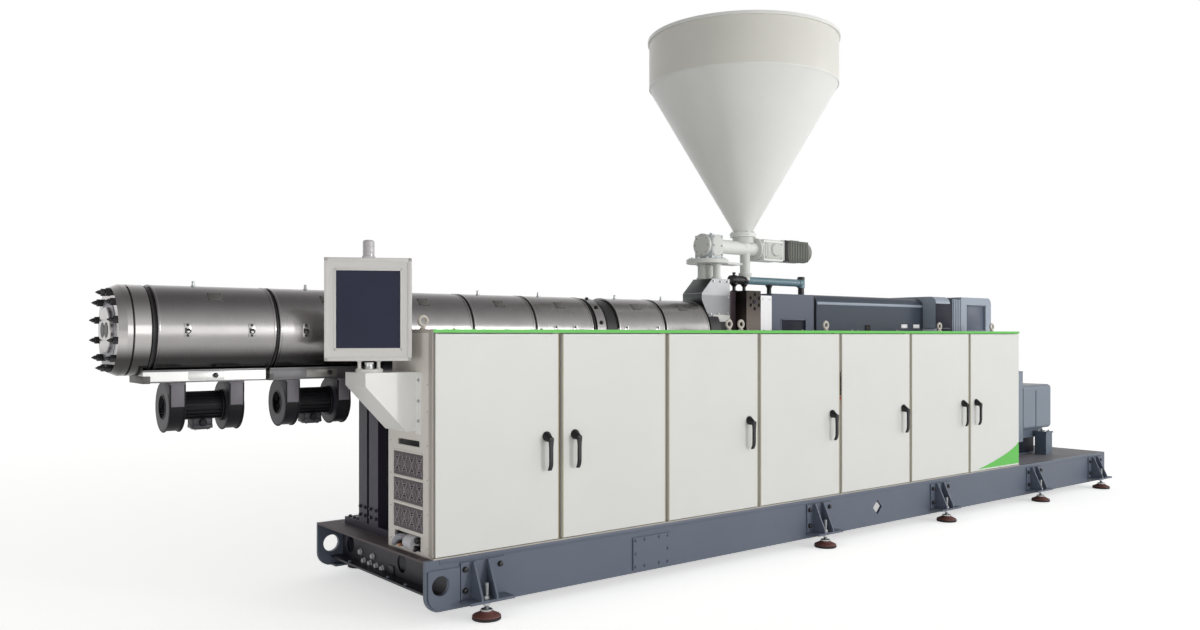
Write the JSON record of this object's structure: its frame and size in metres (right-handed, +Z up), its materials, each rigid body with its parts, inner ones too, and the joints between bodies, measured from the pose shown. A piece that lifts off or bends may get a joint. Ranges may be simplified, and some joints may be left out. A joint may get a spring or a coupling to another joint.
{
  "type": "plastic extruder",
  "caption": "Stationary twin-screw plastic extruder: heated barrel with blowers, feed hopper, gearbox row, cabinets with hinged doors and a swivelling operator panel on a footed base frame.",
  "frame": {"origin": "middle of the machine's footprint box, at floor level", "axes": "+X along the machine from the barrel head to the drive end, -Y the operator's side with the doors, +Z up"},
  "size_m": [9.026, 1.6856, 3.756],
  "materials": {
    "slate_paint": "satin",
    "deck_paint": "matte",
    "zinc_steel": "satin",
    "pad_brown": "matte",
    "black_steel": "satin",
    "polished_steel": "polished",
    "jacket_steel": "brushed",
    "tray_aluminium": "satin",
    "blower_black": "satin",
    "portal_paint": "satin",
    "feed_white": "gloss",
    "motor_grey": "satin",
    "hopper_cream": "gloss",
    "guard_white": "satin",
    "drive_paint": "satin",
    "frame_beige": "satin",
    "strip_green": "satin",
    "door_cream": "satin",
    "fan_grey": "matte",
    "screen_glass": "gloss",
    "beacon_grey": "gloss",
    "handle_black": "satin"
  },
  "bodies": {
    "machine": {"base_sides": "slate_paint", "base_ends": "slate_paint", "base_deck": "deck_paint", "base_cross_members": "slate_paint", "foot_brackets": "slate_paint", "foot_studs": "zinc_steel", "foot_pads": "pad_brown", "barrel_core": "black_steel", "head_flange": "polished_steel", "head_studs": "black_steel", "barrel_jackets": "jacket_steel", "air_trays": "tray_aluminium", "blower_scrolls": "blower_black", "blower_motors": "blower_black", "barrel_portal": "portal_paint", "infeed_housing": "jacket_steel", "feed_platform": "feed_white", "drop_box": "feed_white", "metering_tube": "feed_white", "metering_motor": "motor_grey", "hopper_shell": "hopper_cream", "hopper_post": "feed_white", "drive_pedestal": "slate_paint", "coupling_block": "portal_paint", "ring_plate": "portal_paint", "coupling_guard": "guard_white", "gearbox_housing": "drive_paint", "motor_cover": "drive_paint", "rear_drive_blocks": "drive_paint", "lifting_beam": "drive_paint", "lower_motor": "drive_paint", "lower_motor_stand": "drive_paint", "cabinet_floor": "frame_beige", "cabinet_roof": "frame_beige", "cabinet_strip": "strip_green", "cabinet_back": "door_cream", "cabinet_end_left": "frame_beige", "cabinet_end_right": "door_cream", "cabinet_posts": "frame_beige", "fan_units": "fan_grey", "lifting_eyes": "frame_beige", "console_arm": "door_cream"},
    "panel": {"panel_housing": "door_cream", "panel_screen": "screen_glass", "panel_beacon": "beacon_grey"},
    "door_1": {"door_1": "door_cream"},
    "handle_1": {"handle_1": "handle_black"},
    "door_2": {"door_2": "door_cream"},
    "handle_2": {"handle_2": "handle_black"},
    "door_3": {"door_3": "door_cream"},
    "handle_3": {"handle_3": "handle_black"},
    "door_4": {"door_4": "door_cream"},
    "handle_4": {"handle_4": "handle_black"},
    "door_5": {"door_5": "door_cream"},
    "handle_5": {"handle_5": "handle_black"},
    "door_6": {"door_6": "door_cream"},
    "handle_6": {"handle_6": "handle_black"},
    "door_7": {"door_7": "door_cream"},
    "handle_7": {"handle_7": "handle_black"}
  },
  "joints": [
    {"name": "door_1_hinge", "type": "hinge", "parent": "machine", "child": "door_1", "pos_m": [-3.054, -0.679, 0.926], "axis": [0, 0, -1], "range_deg": [0, 85]},
    {"name": "handle_1_turn", "type": "hinge", "parent": "door_1", "child": "handle_1", "pos_m": [-2.358, -0.7, 0.93], "axis": [0, 1, 0], "range_deg": [0, 90]},
    {"name": "door_2_hinge", "type": "hinge", "parent": "machine", "child": "door_2", "pos_m": [-1.458, -0.679, 0.926], "axis": [0, 0, 1], "range_deg": [0, 85]},
    {"name": "handle_2_turn", "type": "hinge", "parent": "door_2", "child": "handle_2", "pos_m": [-2.158, -0.7, 0.93], "axis": [0, -1, 0], "range_deg": [0, 90]},
    {"name": "door_3_hinge", "type": "hinge", "parent": "machine", "child": "door_3", "pos_m": [-1.412, -0.679, 0.926], "axis": [0, 0, -1], "range_deg": [0, 85]},
    {"name": "handle_3_turn", "type": "hinge", "parent": "door_3", "child": "handle_3", "pos_m": [-0.69, -0.7, 0.93], "axis": [0, 1, 0], "range_deg": [0, 90]},
    {"name": "door_4_hinge", "type": "hinge", "parent": "machine", "child": "door_4", "pos_m": [-0.567, -0.679, 0.926], "axis": [0, 0, -1], "range_deg": [0, 85]},
    {"name": "handle_4_turn", "type": "hinge", "parent": "door_4", "child": "handle_4", "pos_m": [0.1895, -0.7, 0.93], "axis": [0, 1, 0], "range_deg": [0, 90]},
    {"name": "door_5_hinge", "type": "hinge", "parent": "machine", "child": "door_5", "pos_m": [0.3125, -0.679, 0.926], "axis": [0, 0, -1], "range_deg": [0, 85]},
    {"name": "handle_5_turn", "type": "hinge", "parent": "door_5", "child": "handle_5", "pos_m": [1.073, -0.7, 0.93], "axis": [0, 1, 0], "range_deg": [0, 90]},
    {"name": "door_6_hinge", "type": "hinge", "parent": "machine", "child": "door_6", "pos_m": [1.196, -0.679, 0.926], "axis": [0, 0, -1], "range_deg": [0, 85]},
    {"name": "handle_6_turn", "type": "hinge", "parent": "door_6", "child": "handle_6", "pos_m": [1.9275, -0.7, 0.93], "axis": [0, 1, 0], "range_deg": [0, 90]},
    {"name": "door_7_hinge", "type": "hinge", "parent": "machine", "child": "door_7", "pos_m": [2.825, -0.679, 0.926], "axis": [0, 0, 1], "range_deg": [0, 85]},
    {"name": "handle_7_turn", "type": "hinge", "parent": "door_7", "child": "handle_7", "pos_m": [2.1275, -0.7, 0.93], "axis": [0, -1, 0], "range_deg": [0, 90]},
    {"name": "panel_swivel", "type": "hinge", "parent": "machine", "child": "panel", "pos_m": [-3.309, -0.426, 1.32], "axis": [0, 0, 1], "range_deg": [-10, 80]}
  ]
}
